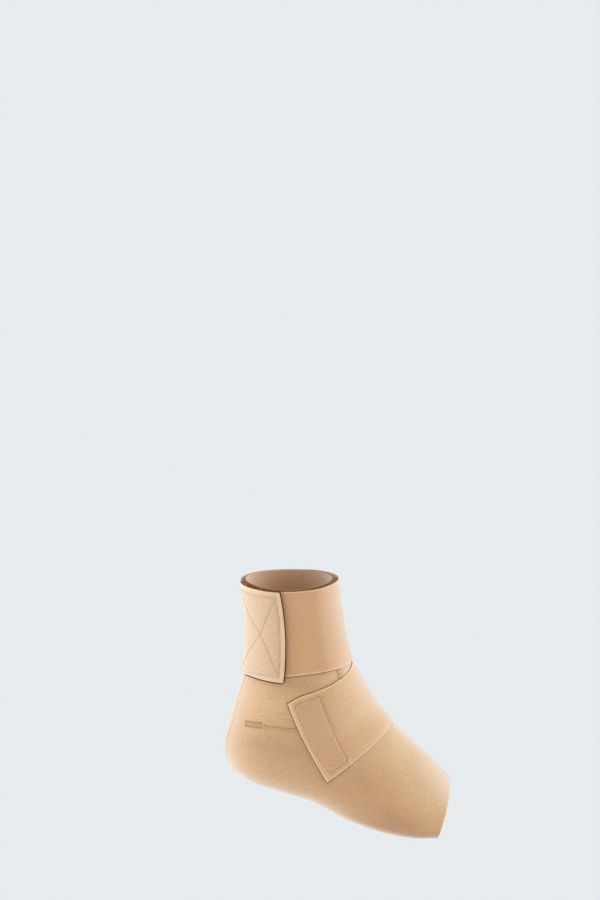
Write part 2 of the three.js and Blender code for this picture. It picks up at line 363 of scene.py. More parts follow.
def rib_knit_group():
    """Fine ribs across the course, with the loops of the yarn along them and a soft mottle."""
    group, start, end = node_group(
        "rib knit",
        [("Course", "Float"), ("Wale", "Float"), ("Depth", "Float"), ("Pitch", "Float")],
        [("Height", "Float"), ("Tone", "Float")],
    )
    course, wale, depth, pitch = (start.outputs[label] for label in ("Course", "Wale", "Depth", "Pitch"))
    spot = add(group, "ShaderNodeCombineXYZ", {
        "X": calc(group, "MULTIPLY", wale, KNIT_DRAWN_OUT),
        "Y": course,
        "Z": calc(group, "MULTIPLY", depth, KNIT_DRAWN_OUT),
    }).outputs[0]
    parts = {}
    for label, (scale, detail) in KNIT_NOISES.items():
        inputs = {"Vector": spot, "Scale": scale, "Detail": detail}
        parts[label] = add(group, "ShaderNodeTexNoise", inputs).outputs[0]
    for label, (low, high) in KNIT_SPREAD.items():
        inputs = {"Value": parts[label], 1: low, 2: high}
        parts[label] = add(group, "ShaderNodeMapRange", inputs).outputs[0]
    rib = calc(group, "DIVIDE", calc(group, "MULTIPLY_ADD", parts["drift"], RIB_DRIFT, course), pitch)
    ridge = calc(group, "ABSOLUTE", calc(group, "SINE", calc(group, "MULTIPLY", rib, math.pi)))
    parts["ridge"] = calc(group, "POWER", ridge, RIB_ROUND)
    stagger = calc(group, "MULTIPLY", calc(group, "FLOOR", rib), LOOP_STAGGER)
    loop = calc(group, "ADD", calc(group, "DIVIDE", wale, pitch), stagger)
    loop = calc(group, "SINE", calc(group, "MULTIPLY", loop, 2 * math.pi))
    parts["loop"] = calc(group, "MULTIPLY_ADD", loop, 0.5, 0.5)
    for output, total, weights in (("Height", 0.0, KNIT_HEIGHTS), ("Tone", KNIT_DARKEST, KNIT_TONES)):
        for label, weight in weights.items():
            total = calc(group, "MULTIPLY_ADD", parts[label], weight, total)
        group.links.new(total, end.inputs[output])
    return group


# What is left of the cloth's colour under the deepest painted shade
PAINTED_SHADE_COLOUR = (0.64, 0.45, 0.3, 1.0)
# The depths between which a press darkens the cloth in its groove with painted shade, and how deep that
# painted shade then is
PRESS_SHOWS = (0.02, 0.6)
PRESS_SHADE = 0.6
# The pale border fades over this share of its width, to either side
BORDER_FADE = 0.35


def cloth_colour_group():
    """The face's colour, with painted shade in its pressed grooves and where the shade attribute paints it,
    and with the pale border's colour and the inner face's.
    """
    group, start, end = node_group(
        "cloth colour",
        [("Face", "Color"), ("Edge", "Color"), ("Border", "Float"), ("Inside", "Color"), ("Tone", "Float")],
        [("Colour", "Color")],
    )
    given = start.outputs

    def mark(label):
        return add(group, "ShaderNodeAttribute", attribute_name=label).outputs["Fac"]

    def ramp(value, low, high, first, last):
        inputs = {"Value": value, 1: low, 2: high, 3: first, 4: last}
        return add(group, "ShaderNodeMapRange", inputs, interpolation_type="SMOOTHSTEP").outputs[0]

    from_edge = calc(group, "DIVIDE", mark("edge"), given["Border"])
    border = ramp(from_edge, 1 - BORDER_FADE, 1 + BORDER_FADE, 1.0, 0.0)
    painted_shade = calc(group, "MAXIMUM", mark("shade"), ramp(mark("pressed"), *PRESS_SHOWS, 0.0, PRESS_SHADE))
    colour = mix(group, border, given["Face"], given["Edge"])
    colour = mix(group, mark("inside"), colour, given["Inside"])
    colour = toned(group, colour, given["Tone"])
    colour = mix(group, painted_shade, colour, PAINTED_SHADE_COLOUR, "MULTIPLY")
    group.links.new(colour, end.inputs["Colour"])
    return group


RIB_KNIT = rib_knit_group()
CLOTH_COLOUR = cloth_colour_group()


def new_material(name, settings):
    """A material whose plain values are set on its shader's own sockets, with its tree and its shader."""
    material = bpy.data.materials.new(name)
    material.use_nodes = True
    shader = material.node_tree.nodes["Principled BSDF"]
    for label, value in settings.items():
        shader.inputs[label].default_value = value
    return material, material.node_tree, shader


def link_surface(tree, shader, colour, height, relief):
    """Gives a shader its colour and the relief of its surface, in millimetres."""
    bump = add(tree, "ShaderNodeBump", {"Height": height, "Distance": relief * MM})
    tree.links.new(colour, shader.inputs["Base Color"])
    tree.links.new(bump.outputs["Normal"], shader.inputs["Normal"])


CLOTH_FINISH = {
    "Roughness": 0.9,
    "Specular IOR Level": 0.2,
    "Sheen Weight": 1.0,
    "Sheen Roughness": 0.66,
    "Sheen Tint": (0.95, 1.0, 1.0, 1.0),
}
INNER_FACE = paint(170, 123, 78)


def cloth_material(name, face, edge, border, relief, knit):
    """A cloth finish, with a pale border along its edges, partly the cut edge's colour and partly a painted
    highlight of the rounded edge.

    border is its width and relief is the knit's, and knit(tree) gives the sockets of its height and tone.
    """
    material, tree, shader = new_material(name, CLOTH_FINISH)
    height, tone = knit(tree)
    inputs = {"Face": face, "Edge": edge, "Border": border, "Inside": INNER_FACE, "Tone": tone}
    colour = add(tree, "ShaderNodeGroup", inputs, node_tree=CLOTH_COLOUR).outputs["Colour"]
    link_surface(tree, shader, colour, height, relief)
    return material


CUT_FINISH = {"Roughness": 1.0, "Specular IOR Level": 0.0}
CELL_SCALE = 1600.0
CELL_CONTRAST = 0.6
CELL_DARKEST = 0.7
CELL_RELIEF = 0.15


def cut_material(name, colour):
    """The open-cell foam that shows where the cloth is cut; in its dark colours it also makes lines of
    painted shadow.
    """
    material, tree, shader = new_material(name, CUT_FINISH)
    spot = add(tree, "ShaderNodeTexCoord").outputs["Object"]
    cells = add(tree, "ShaderNodeTexVoronoi", {"Vector": spot, "Scale": CELL_SCALE}).outputs["Distance"]
    tone = calc(tree, "MULTIPLY_ADD", cells, CELL_CONTRAST, CELL_DARKEST)
    link_surface(tree, shader, toned(tree, colour, tone), cells, CELL_RELIEF)
    return material


def knit_node(tree, course, wale, depth, pitch):
    """The rib knit's height and tone at a spot of the cloth."""
    inputs = {"Course": course, "Wale": wale, "Depth": depth, "Pitch": pitch}
    node = add(tree, "ShaderNodeGroup", inputs, node_tree=RIB_KNIT)
    return node.outputs["Height"], node.outputs["Tone"]


BORDER = 1.4
BOOT_PITCH = 1.5
BOOT_RELIEF = 0.12
BOOT_FACE = paint(190, 148, 94)
# The pale border: partly the cut edge's own colour and partly a painted highlight of the rounded edge
CUT_EDGE_AND_HIGHLIGHT = paint(199, 156, 110)
# The backing's dark colour, shown at cut walls and along the rims: its dark lines along rims, lower edges
# and the tab's free edge are partly the backing and partly painted shadow
DARK_BACKING_AND_SHADOW = cut_material("dark backing and painted shadow", paint(94, 56, 26))
CUT_FOAM = cut_material("cut foam", paint(172, 124, 84))


def boot_knit(tree):
    """Level ribs on the sides, and ribs across the sole, where level ones would run apart."""
    spot = add(tree, "ShaderNodeTexCoord").outputs["Object"]
    spot = add(tree, "ShaderNodeVectorMath", {0: spot, "Scale": 1 / MM}, operation="SCALE").outputs[0]
    x, y, z = add(tree, "ShaderNodeSeparateXYZ", {0: spot}).outputs
    sides, sole = knit_node(tree, z, x, y, BOOT_PITCH), knit_node(tree, x, y, z, BOOT_PITCH)
    share = add(tree, "ShaderNodeAttribute", attribute_name="sole").outputs["Fac"]
    return [
        add(tree, "ShaderNodeMix", {"Factor": share, "A": a, "B": b}, data_type="FLOAT").outputs[0]
        for a, b in zip(sides, sole)
    ]


def rim_at(angle):
    """The rim dips on the outer side of the ankle."""
    return RIM_DIP * np.maximum(0, np.sin(np.radians(angle))) ** 2


def boot_spot(u, v):
    angle = 360 * v - 180
    return lerp(rim_at(angle), LAST_SECTION, u), angle


# The dart that takes in the heel lies level on its outer side as far as its tack reaches, then falls a
# little to the front, and its seam is drawn in, over a short rise at its two ends
DART_BACK = -38.6
DART_FRONT = 12
DART_BACK_HEIGHT = -12.6
DART_SLOPE = -0.065
TACK_LENGTH = 13.3
# The drawn-in seam darkens the cloth in it with painted shade
DART_DEPTH = 0.2
DART_HALF_WIDTH = 1.8
DART_LEAD = 3
DART_CATCH = 1


def dart_height(x):
    """The height of the dart's middle line."""
    return DART_BACK_HEIGHT + DART_SLOPE * np.maximum(x - DART_BACK - TACK_LENGTH, 0)


def boot_lifts(place, angle):
    x, y, z = np.moveaxis(form_point(place, angle), -1, 0)
    past_back = smoothstep(x, DART_BACK - DART_LEAD, DART_BACK + DART_CATCH)
    before_front = 1 - smoothstep(x, DART_FRONT - DART_LEAD, DART_FRONT)
    across = np.exp(-((z - dart_height(x)) / DART_HALF_WIDTH) ** 2)
    return -BOOT_WALL, BOOT_WALL, DART_DEPTH * past_back * before_front * across * (y < 0)


# The boot's outer face gets painted shade: a little all over, deeper in streaks where shade falls on it, and
# none in streaks where it is lit more, as painted light. Each streak runs from one point to another, with
# how far it reaches and how deep its painted shade is on it, from 0 for none to 1
BOOT_SHADE_ALL_OVER = 0.28
SHADE_STREAKS = [
    [(0, -36, 22), (12, -36, 20), 9, 0.66],  # hollow under the band
    [(-28, -34, -29), (0, -35, -34), 11, 0.63],  # side of the heel
    [(50, -35, -56), (60, -36, -62), 12, 0.58],  # side of the instep
    [(75, -41, -84), (94, -44, -93), 8, 0.7],  # side of the ball
    [(45, -37, -91), (118, -44, -104), 5, 1],  # lower edge of the ball
    [(13, -38, -34), (27, -39, -59), 4, 0.75],  # beside the strap's free end
    [(40, -39, -68), (72, -42, -80), 8, 0.42],  # side of the waist
    [(-20, -37, 3), (-6, -37, 5), 11, 0],  # above the heel
    [(84, -25, -43), (110, -46, -84), 10, 0],  # side towards the toe edge
]


def from_line(points, start, end):
    """How far points lie from a straight line between two others."""
    run = end - start
    share = np.clip(((points - start) @ run) / (run @ run), 0, 1)
    return np.linalg.norm(points - start - share[..., None] * run, axis=-1)


def paint_boot_shade(piece):
    """Sets the painted shade on the boot's outer face."""
    mesh = piece.data
    spots = form_point(read_mark(mesh, "place"), read_mark(mesh, "angle"))
    shade = np.full(len(spots), BOOT_SHADE_ALL_OVER)
    for from_point, to_point, reach, depth in SHADE_STREAKS:
        away = from_line(spots, np.array(from_point), np.array(to_point))
        shade += (depth - BOOT_SHADE_ALL_OVER) * np.exp(-away / reach)
    write_mark(mesh, "shade", np.clip(shade, 0, 1) * (1 - read_mark(mesh, "inside")))


boot_cloth = cloth_material("boot cloth", BOOT_FACE, CUT_EDGE_AND_HIGHLIGHT, BORDER, BOOT_RELIEF, boot_knit)
boot = cloth_piece(
    "boot", boot_cloth, boot_spot, boot_lifts,
    shares(BOOT_LENGTH, BOOT_STEP), np.linspace(0, 1, BOOT_GIRTH_STEPS + 1),
    ring=True, cuts={"rim": DARK_BACKING_AND_SHADOW, "top": CUT_FOAM},
)
paint_boot_shade(boot)
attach(boot, "root")
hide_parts("foot_boot")

# The boot's seams: a ladder of overlock thread along the heel dart, closed by a bar tack at its back end,
# and a narrower one down the back of the heel and along the sole, where the two side panels meet.
# A stitch's lean is its turn from its line, in degrees.
THREAD = 0.42
SEAM_THREAD = paint(184, 145, 103)
TACK_THREAD = paint(157, 120, 80)
DART_LADDER = 4.4
DART_LADDER_LEAN = 80
DART_PITCH = 2.2
DART_STITCH = 1.6
DART_MIDDLE_STITCH = 2.5
DART_PROUD = 0.08
TACK_PITCH = 1.1
TACK_WIDTH = 5.6
TACK_STITCH = 1.7
TACK_RUNG_PITCH = 1.9
SQUARE = 90
# The back seam's angle, by section place
BACK_SEAM = np.array([[2.9, 160], [4, 165], [5.2, 161], [6.6, 166], [8.2, 178], [10, 180], [14, 180]])
BACK_SEAM_END_GAP = 0.05
BACK_SEAM_STEPS = 260
BACK_SEAM_PITCH = 1.7
BACK_SEAM_WIDTH = 2.2
BACK_SEAM_LEAN = 55
BEAD_SEGMENTS = 8
BEAD_RINGS = 5


def stitch_tree():
    """Sets a stitch at each step of a sewn line, along the line or turned across it."""
    tree = bpy.data.node_groups.new("stitches along a line", "GeometryNodeTree")
    for label, kind in [
        ("Line", "Geometry"), ("Pitch", "Float"), ("Length", "Float"), ("Thread", "Float"),
        ("Turn", "Float"), ("Yarn", "Material"),
    ]:
        tree.interface.new_socket(label, in_out="INPUT", socket_type="NodeSocket" + kind)
    tree.interface.new_socket("Stitches", in_out="OUTPUT", socket_type="NodeSocketGeometry")
    start, end = add(tree, "NodeGroupInput"), add(tree, "NodeGroupOutput")
    given = start.outputs
    line = add(tree, "GeometryNodeMeshToCurve", {"Mesh": given["Line"]}).outputs[0]
    line = add(tree, "GeometryNodeResampleCurve", {"Curve": line, "Length": given["Pitch"]}, mode="LENGTH")
    upright = add(tree, "GeometryNodeInputNamedAttribute", {"Name": "upright"}, data_type="FLOAT_VECTOR")
    stand = add(tree, "FunctionNodeAlignRotationToVector", {"Vector": upright.outputs[0]}, axis="Z")
    heading = add(tree, "GeometryNodeInputTangent").outputs[0]
    lie = add(
        tree, "FunctionNodeAlignRotationToVector", {"Rotation": stand.outputs[0], "Vector": heading},
        axis="X", pivot_axis="Z",
    )
    turn = add(tree, "FunctionNodeAxisAngleToRotation", {"Axis": (0, 0, 1), "Angle": given["Turn"]})
    lie = add(
        tree, "FunctionNodeRotateRotation", {"Rotation": lie.outputs[0], "Rotate By": turn.outputs[0]},
        rotation_space="LOCAL",
    )
    bead = add(tree, "GeometryNodeMeshUVSphere", {
        "Segments": BEAD_SEGMENTS, "Rings": BEAD_RINGS, "Radius": 0.5,
    })
    size = add(tree, "ShaderNodeCombineXYZ", {
        "X": given["Length"], "Y": given["Thread"], "Z": given["Thread"],
    })
    set_out = add(tree, "GeometryNodeInstanceOnPoints", {
        "Points": line.outputs[0], "Instance": bead.outputs[0],
        "Rotation": lie.outputs[0], "Scale": size.outputs[0],
    })
    real = add(tree, "GeometryNodeRealizeInstances", {"Geometry": set_out.outputs[0]}).outputs[0]
    real = add(tree, "GeometryNodeSetShadeSmooth", {"Geometry": real}).outputs[0]
    real = add(tree, "GeometryNodeSetMaterial", {"Geometry": real, "Material": given["Yarn"]}).outputs[0]
    tree.links.new(real, end.inputs[0])
    return tree


STITCHES = stitch_tree()
THREAD_FINISH = {"Roughness": 0.8, "Specular IOR Level": 0.2}
FLECK_SCALE = 900.0
FLECK_CONTRAST = 0.5
FLECK_DARKEST = 0.75
TWIST_SCALE = 1500.0
TWIST_RELIEF = 0.04


def thread_material(name, colour):
    """Spun sewing thread, a little lighter and darker along its length."""
    material, tree, shader = new_material(name, THREAD_FINISH)
    spot = add(tree, "ShaderNodeTexCoord").outputs["Object"]
    inputs = {"Vector": spot, "Scale": FLECK_SCALE, "Detail": 2.0}
    fleck = add(tree, "ShaderNodeTexNoise", inputs).outputs[0]
    tone = calc(tree, "MULTIPLY_ADD", fleck, FLECK_CONTRAST, FLECK_DARKEST)
    inputs = {"Vector": spot, "Scale": TWIST_SCALE}
    twist = add(tree, "ShaderNodeTexWave", inputs, bands_direction="DIAGONAL").outputs[1]
    link_surface(tree, shader, toned(tree, colour, tone), twist, TWIST_RELIEF)
    return material


def stitch_row(lifts, line, proud, pitch, length, lean=0):
    """A row of stitches on the outer face of the piece that has these lifts.

    line is the place and the angle of points along the row, and proud how far the stitches' middle stands
    above the face.
    """
    stand_off, wall, pressed = lifts(*line)
    return *line, stand_off + wall - pressed + proud, pitch, length, lean


def stitched(place, angle, lift, inputs):
    """The stitches along one line, as a plain mesh, from the inputs of their tree."""
    points = lifted(place, angle, lift) * MM
    line = bpy.data.meshes.new("line")
    line.from_pydata(points.tolist(), [(k, k + 1) for k in range(len(points) - 1)], [])
    upright = line.attributes.new("upright", "FLOAT_VECTOR", "POINT")
    upright.data.foreach_set("vector", outward(place, angle).astype(np.float32).ravel())
    drawn = placed("line", line)
    sewing = drawn.modifiers.new("stitches", "NODES")
    sewing.node_group = STITCHES
    for item in STITCHES.interface.items_tree:
        if item.in_out == "INPUT" and item.name in inputs:
            sewing[item.identifier] = inputs[item.name]
    bpy.context.view_layer.update()
    evaluated = drawn.evaluated_get(bpy.context.evaluated_depsgraph_get())
    stitches = bpy.data.meshes.new_from_object(evaluated)
    bpy.data.objects.remove(drawn)
    bpy.data.meshes.remove(line)
    return stitches


def sewn(name, rows, yarn):
    """The stitches of several rows, joined into one piece."""
    joined = bmesh.new()
    for place, angle, lift, pitch, length, lean in rows:
        stitches = stitched(place, angle, lift, {
            "Pitch": pitch * MM, "Length": length * MM, "Thread": THREAD * MM,
            "Turn": math.radians(lean), "Yarn": yarn,
        })
        joined.from_mesh(stitches)
        bpy.data.meshes.remove(stitches)
    mesh = bpy.data.meshes.new(name)
    joined.to_mesh(mesh)
    joined.free()
    mesh.materials.append(yarn)
    smooth(mesh)
    return placed(name, mesh)


# The walk to a line on the dart: its points, its first place and angle, the angles that it stays between,
# the steps that its slopes are read over, and how many moves it makes, each by a share of what is left
DART_STEPS = 60
DART_NEAR_PLACE = 5.4
DART_NEAR_ANGLE = 115.0
DART_ANGLES = (60, 170)
PLACE_STEP = 0.01
ANGLE_STEP = 0.1
WALK_MOVES = 30
WALK_SHARE = 0.7


def dart_line(offset, back, front):
    """The place and angle of a line along the dart, above or below its middle, found by walking to it."""
    def from_side(place, angle):
        return form_point(place, angle)[:, [0, 2]]

    place, angle = np.full(DART_STEPS, DART_NEAR_PLACE), np.full(DART_STEPS, DART_NEAR_ANGLE)
    x = np.linspace(back, front, DART_STEPS)
    target = np.stack([x, dart_height(x) + offset], axis=-1)
    for _ in range(WALK_MOVES):
        here = from_side(place, angle)
        by_place = (from_side(place + PLACE_STEP, angle) - here) / PLACE_STEP
        by_angle = (from_side(place, angle + ANGLE_STEP) - here) / ANGLE_STEP
        slopes = np.stack([by_place, by_angle], axis=-1)
        moves = WALK_SHARE * np.linalg.solve(slopes, (target - here)[..., None])[..., 0]
        place, angle = place + moves[:, 0], np.clip(angle + moves[:, 1], *DART_ANGLES)
    return place, angle


def dart_row(offset, back, front, pitch, length, lean):
    """A row of the dart's seam, a little above or below its middle."""
    return stitch_row(boot_lifts, dart_line(offset, back, front), DART_PROUD, pitch, length, lean)


seam_yarn = thread_material("seam thread", SEAM_THREAD)
tack_yarn = thread_material("tack thread", TACK_THREAD)
tack_end = DART_BACK + TACK_LENGTH
tack_side = TACK_WIDTH / 2 - TACK_STITCH / 2
dart_rows = [
    dart_row(-DART_LADDER / 2, tack_end, DART_FRONT, DART_PITCH, DART_STITCH, 0),
    dart_row(0, tack_end, DART_FRONT, DART_PITCH, DART_LADDER, DART_LADDER_LEAN),
]
tack_rows = [
    dart_row(0, tack_end, DART_FRONT, DART_PITCH, DART_MIDDLE_STITCH, 0),
    dart_row(tack_side, DART_BACK, tack_end, TACK_PITCH, TACK_STITCH, SQUARE),
    dart_row(-tack_side, DART_BACK, tack_end, TACK_PITCH, TACK_STITCH, SQUARE),
    dart_row(0, DART_BACK, tack_end, TACK_RUNG_PITCH, TACK_WIDTH, SQUARE),
]
seam_place = np.linspace(BACK_SEAM[0, 0], BACK_SEAM[-1, 0] - BACK_SEAM_END_GAP, BACK_SEAM_STEPS)
seam_row = np.interp(seam_place, BACK_SEAM[:, 0], np.arange(len(BACK_SEAM)))
seam_angle = through_rows(BACK_SEAM[:, 1:], seam_row)[..., 0]
back_seam = stitch_row(
    boot_lifts, (seam_place, seam_angle), 0, BACK_SEAM_PITCH, BACK_SEAM_WIDTH, BACK_SEAM_LEAN,
)
boot_thread = sewn("boot_thread", [*dart_rows, back_seam], seam_yarn)
dart_tack = sewn("dart_tack", tack_rows, tack_yarn)
for piece in (boot_thread, dart_tack):
    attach(piece, "root")

# The front flap: the overlap of the boot's front opening, a single layer of the boot's knit.
# It lies on the boot under the band and the strap, and its outer edge shows between them.
LAYER_GAP = 0.4
FLAP_WALL = 1.0
FLAP_FACE = paint(181, 137, 84)
FLAP_WIDTH = 64
FLAP_WIDTH_STEP = 1.0
FLAP_LENGTH = 95
FLAP_LENGTH_STEP = 1.6
FLAP_INNER_EDGE = -52
FLAP_OUTER_EDGE = 48
FLAP_BOTTOM = 4.7
# The outer edge turns this far to the front between these places, and is thinner over its last degrees
FLAP_TURN = 6
FLAP_TURN_PLACES = (2.2, 3.2)
FLAP_EDGE_WALL = 0.5
FLAP_EDGE_GAP = 0.1
FLAP_EDGE_TAPER = 6
# Its row of stitches: how far it is from the edge and how wide, in degrees, its groove and its stitches
FLAP_MARGIN = 3.4
# The groove darkens the cloth in it with painted shade
FLAP_GROOVE = 0.15
FLAP_GROOVE_HALF_WIDTH = 1.2
FLAP_SEAM_TOP = 2.6
FLAP_SEAM_END_GAP = 0.1
FLAP_SEAM_STEPS = 60
FLAP_STITCH = 2.0
FLAP_STITCH_PITCH = 2.6
FLAP_PROUD = 0.05


def knit_on_map(pitch):
    """Ribs along the piece's own length, read from its cloth map."""
    def knit(tree):
        chart = add(tree, "ShaderNodeUVMap", uv_map="cloth").outputs[0]
        wale, course, depth = add(tree, "ShaderNodeSeparateXYZ", {0: chart}).outputs
        return knit_node(tree, course, wale, depth, pitch)
    return knit


def flap_edge(place):
    """The outer edge turns a little to the front at the band's lower edge."""
    return FLAP_OUTER_EDGE - FLAP_TURN * smoothstep(place, *FLAP_TURN_PLACES)


def flap_spot(u, v):
    place = lerp(rim_at(FLAP_OUTER_EDGE * v), FLAP_BOTTOM, u)
    return place, lerp(FLAP_INNER_EDGE, flap_edge(place), v)


def flap_lifts(place, angle):
    from_edge = flap_edge(place) - angle
    taper = smoothstep(from_edge, 0, FLAP_EDGE_TAPER)
    pressed = FLAP_GROOVE * np.exp(-((from_edge - FLAP_MARGIN) / FLAP_GROOVE_HALF_WIDTH) ** 2)
    return lerp(FLAP_EDGE_GAP, LAYER_GAP, taper), lerp(FLAP_EDGE_WALL, FLAP_WALL, taper), pressed


flap_cloth = cloth_material("flap cloth", FLAP_FACE, FLAP_FACE, BORDER, BOOT_RELIEF, knit_on_map(BOOT_PITCH))
flap = cloth_piece(
    "flap", flap_cloth, flap_spot, flap_lifts,
    shares(FLAP_LENGTH, FLAP_LENGTH_STEP), shares(FLAP_WIDTH, FLAP_WIDTH_STEP),
    cuts={"rim": DARK_BACKING_AND_SHADOW, "top": CUT_FOAM},
)
flap_place = np.linspace(FLAP_SEAM_TOP, FLAP_BOTTOM - FLAP_SEAM_END_GAP, FLAP_SEAM_STEPS)
flap_seam = (flap_place, flap_edge(flap_place) - FLAP_MARGIN)
flap_row = stitch_row(flap_lifts, flap_seam, FLAP_PROUD, FLAP_STITCH_PITCH, FLAP_STITCH)
flap_thread = sewn("flap_thread", [flap_row], seam_yarn)
for piece in (flap, flap_thread):
    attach(piece, "root")
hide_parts("front_flap")

# The hook strip: tan hook tape under the free end of the instep strap, which it grips to the boot.
# Its face is a field of small stiff hooks. It is sewn on inside the strap's edges.
HOOK_WALL = 0.8
HOOK_STEP = 1.2
STRIP_WIDTH = 21
STRIP_LENGTH = 66
STRIP_COLOUR = paint(166, 124, 84)
# How far it lies inside the strap: in degrees from the free end, and as a share of the strap's width
STRIP_MARGIN_ARC = 3
STRIP_MARGIN = 0.05
# The strap's upper and lower edge, by section place, at angles from the inner side round to the outer
STRAP_EDGES = np.array([
    [-128, 6.1, 9.7],
    [-96, 4.7, 9.6],
    [-47, 3.75, 9.55],
    [0, 3.16, 9.45],
    [47, 3.83, 9.55],
    [74, 4.12, 9.6],
    [86, 4.21, 9.6],
    [97, 4.46, 9.6],
])
# The strap's free end is a straight cut, a little bowed, and so is the line where the hook strip begins:
# three points of each, by height (z) and how far forward (x)
FREE_END = [(6, -4), (-26, 9.1), (-59, 27.2)]
HOOK_LINE = [(17.5, 18.9), (-15, 30.6), (-45.5, 45.8)]
# Each is found at these shares of the strap's width, by halving this range of angles this many times
CUT_SHARES = np.linspace(0, 1, 81)
CUT_ANGLES = (50.0, 120.0)
CUT_HALVINGS = 40


def strap_edges(angle):
    """The places of the strap's upper and lower edge."""
    row = np.interp(angle, STRAP_EDGES[:, 0], np.arange(len(STRAP_EDGES)))
    edges = through_rows(STRAP_EDGES[:, 1:], row)
    return edges[..., 0], edges[..., 1]


def on_strap(across, angle):
    """The place and angle of a point at a share of the strap's width."""
    upper, lower = strap_edges(angle)
    return lerp(upper, lower, across), angle


def cut_angles(cut):
    """The angles where the strap meets a straight cut, from its upper edge to its lower."""
    curve = np.polyfit(*np.transpose(cut), 2)
    front, back = (np.full(len(CUT_SHARES), angle) for angle in CUT_ANGLES)
    for _ in range(CUT_HALVINGS):
        angle = (front + back) / 2
        x, _, z = np.moveaxis(form_point(*on_strap(CUT_SHARES, angle)), -1, 0)
        ahead = x > np.polyval(curve, z)
        front, back = np.where(ahead, angle, front), np.where(ahead, back, angle)
    return angle


STRAP_ENDS = [cut_angles(cut) for cut in (FREE_END, HOOK_LINE)]


def strap_ends(across):
    """The angles of the strap's free end and of its hook line, at a share of its width."""
    return [np.interp(across, CUT_SHARES, angles) for angles in STRAP_ENDS]


def strip_spot(u, v):
    across = lerp(STRIP_MARGIN, 1 - STRIP_MARGIN, u)
    free_end, hook_line = strap_ends(across)
    return on_strap(across, lerp(hook_line, free_end - STRIP_MARGIN_ARC, v))


def strip_lifts(place, angle):
    return LAYER_GAP, HOOK_WALL, 0


HOOK_FINISH = {"Roughness": 0.85, "Specular IOR Level": 0.0}
HOOK_SCALE = 0.9
HOOK_UNEVEN = 0.25
HOOK_CONTRAST = 0.5
HOOK_DARKEST = 0.6
HOOK_RELIEF = 0.4


def hook_material(name, colour):
    """Hook tape: rows of hooks as a fine pimpled relief on a plain weave."""
    material, tree, shader = new_material(name, HOOK_FINISH)
    chart = add(tree, "ShaderNodeUVMap", uv_map="cloth").outputs[0]
    inputs = {"Vector": chart, "Scale": HOOK_SCALE, "Randomness": HOOK_UNEVEN}
    hooks = add(tree, "ShaderNodeTexVoronoi", inputs).outputs["Distance"]
    pile = calc(tree, "SUBTRACT", 1.0, hooks)
    tone = calc(tree, "MULTIPLY_ADD", pile, HOOK_CONTRAST, HOOK_DARKEST)
    link_surface(tree, shader, toned(tree, colour, tone), pile, HOOK_RELIEF)
    return material


strip = cloth_piece(
    "hook_strip", hook_material("tan hook tape", STRIP_COLOUR), strip_spot, strip_lifts,
    shares(STRIP_LENGTH, HOOK_STEP), shares(STRIP_WIDTH, HOOK_STEP),
)
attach(strip, "root")
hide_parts("strap_hook_strip")

# The instep strap: a wide band of the same knit, laminated, with raw pale cut edges. It is sewn to the inner
# side of the sole, crosses the instep and ends on the outer side, where the hook strip shows through it.
STRAP_WALL = 1.4
STRAP_WIDTH = 68
STRAP_WIDTH_STEP = 0.75
STRAP_LENGTH = 215
STRAP_LENGTH_STEP = 0.85
STRAP_SEWN_END = -128
STRAP_DEGREE = 0.95
STRAP_PITCH = 1.5
STRAP_RELIEF = 0.1
STRAP_FACE = paint(186, 141, 89)
# Its pale border, partly the cut edge's colour and partly a painted highlight of the rounded edge, and that
# border's width
STRAP_EDGE_AND_HIGHLIGHT = paint(203, 162, 114)
STRAP_BORDER = 1.1
# Its backing's dark colour, seen at the cut walls and, where the backing stands out, as a line of painted
# shadow beside the edges
STRAP_BACKING_AND_SHADOW = paint(120, 78, 44)
# Its edge is thinner and lies closer to the boot, over this stretch
STRAP_EDGE_WALL = 0.8
STRAP_EDGE_GAP = 0.2
STRAP_EDGE_TAPER = 6
# Its edges stand off the boot on the outer side, from these angles on, and lie flat in front of them. The
# backing stands out past the edge by so much, and shows as a dark line of painted shadow beside it
STRAP_UPPER_FRONT = 35
STRAP_LOWER_FRONT = 50
STRAP_FRONT_FADE = 55
STRAP_LIP = 0.6
STRAP_LIP_FRONT = 0.15
# Painted shadow darkens the boot's cloth beside the strap, but not where the strap's edge lies flat
STRAP_SHADE = 0.7
STRAP_SHADE_REACH = 2
STRAP_FLAT_OFF = 5
# The strap's own cloth carries painted shade over the hook strip's box, spreading past the hook line onto
# the shaded slope there, and is paler along its free end, where it ends sooner
HOOK_BOX_SHADE = 0.25
HOOK_BOX_SHADE_REACH = 3.5
HOOK_BOX_SHADE_SHARP = 3
# The hook strip raises the strap, over a ramp before the hook line, and less at the strap's very edges
HOOK_RISE = HOOK_WALL + LAYER_GAP
HOOK_RAMP = 2.5
HOOK_RAMP_END = 0.4
HOOK_SAG = 0.6
HOOK_SAG_EDGE = (0.2, 3)
# The front flap raises what lies over it, with a ramp on each side of it and below it
FLAP_RISE = FLAP_WALL + LAYER_GAP
FLAP_LEAD = 6
FLAP_RAMP = 22
FLAP_BOTTOM_LEAD = 0.4
FLAP_BOTTOM_RAMP = 2.6
# The box of stitches round the hook strip: its size, its corners and its insets from the strap's edges
BOX_HALF_LENGTH = 9.5
BOX_HALF_HEIGHT = 30
BOX_CORNER = 2.2
BOX_INSET = 0.055
BOX_INSET_ARC = 3.4
# Its groove, which is a wide crease near the hook line and faint near the free end, and darkens the cloth in
# it with painted shade
BOX_DEPTH = 0.4
BOX_HALF_WIDTH = 0.8
BOX_CREASE_DEPTH = 0.6
BOX_CREASE_HALF_WIDTH = 2
BOX_CREASE_FADE = (1, 3)
BOX_FAINT = 0.7
BOX_FAINT_FADE = (0.2, 2)


